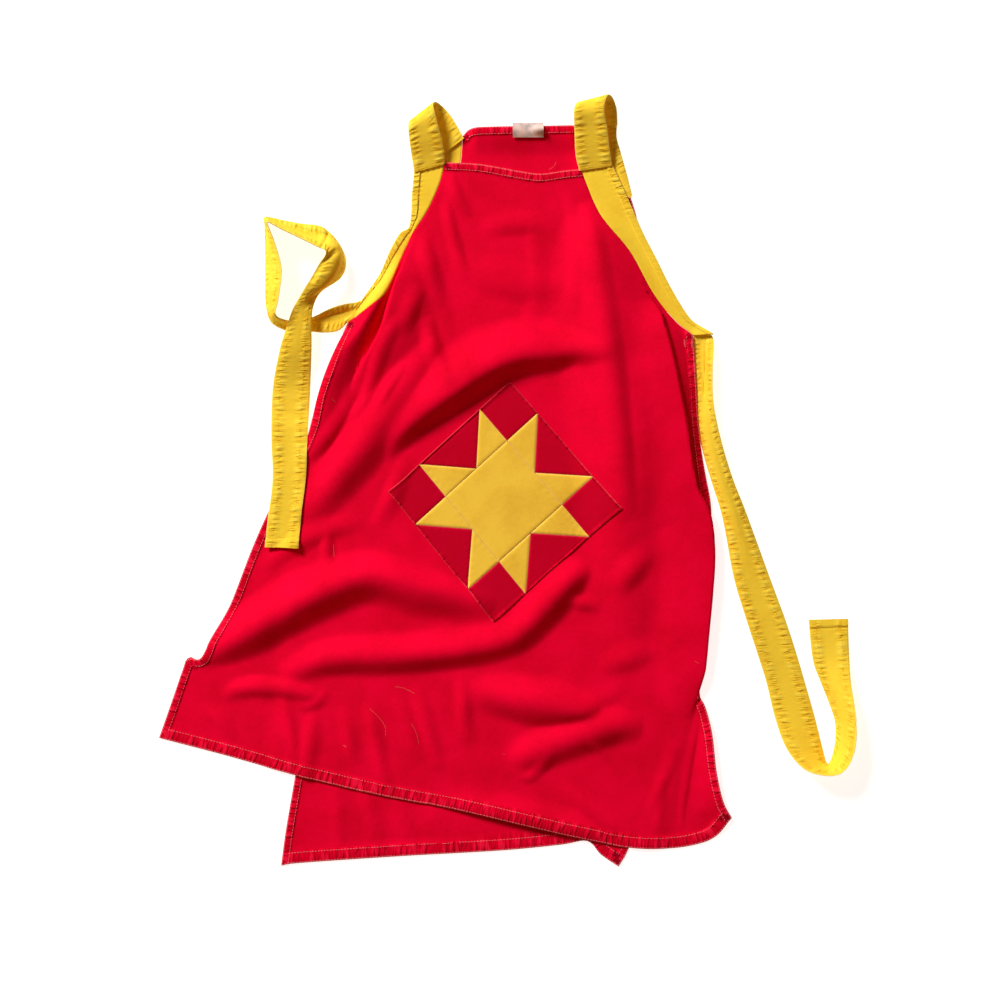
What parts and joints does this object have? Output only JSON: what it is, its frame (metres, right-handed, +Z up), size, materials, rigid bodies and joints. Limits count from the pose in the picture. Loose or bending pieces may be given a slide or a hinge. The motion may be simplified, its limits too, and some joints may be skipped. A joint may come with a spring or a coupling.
{
  "type": "tabard",
  "caption": "Sleeveless cotton tabard laid flat: a red front over a red back, yellow armhole pieces and shoulder straps, long yellow side ties and a patchwork block set on point",
  "frame": {"origin": "centre of the bounding box in X and Y, on the surface that the garment lies on", "axes": "+Z up, away from the surface; +Y up the garment towards its neck; +X to the right seen from above, the wearer's left"},
  "size_m": [0.7256, 0.807, 0.0342],
  "materials": {
    "red_cotton": "matte cotton twill",
    "yellow_cotton": "matte cotton twill",
    "label_cotton": "matte woven tape"
  },
  "bodies": {
    "root": {"front_panel": "red_cotton", "back_panel": "red_cotton", "front_crescent_left": "yellow_cotton", "front_crescent_right": "yellow_cotton", "back_crescent_left": "yellow_cotton", "back_crescent_right": "yellow_cotton", "strap_left": "yellow_cotton", "strap_right": "yellow_cotton", "tie_left": "yellow_cotton", "tie_right": "yellow_cotton", "label": "label_cotton", "star_centre": "yellow_cotton", "star_point_1": "yellow_cotton", "star_point_2": "yellow_cotton", "star_point_3": "yellow_cotton", "star_point_4": "yellow_cotton", "star_point_5": "yellow_cotton", "star_point_6": "yellow_cotton", "star_point_7": "yellow_cotton", "star_point_8": "yellow_cotton", "star_edge_1": "red_cotton", "star_edge_2": "red_cotton", "star_edge_3": "red_cotton", "star_edge_4": "red_cotton", "star_corner_1": "red_cotton", "star_corner_2": "red_cotton", "star_corner_3": "red_cotton", "star_corner_4": "red_cotton"}
  },
  "joints": []
}
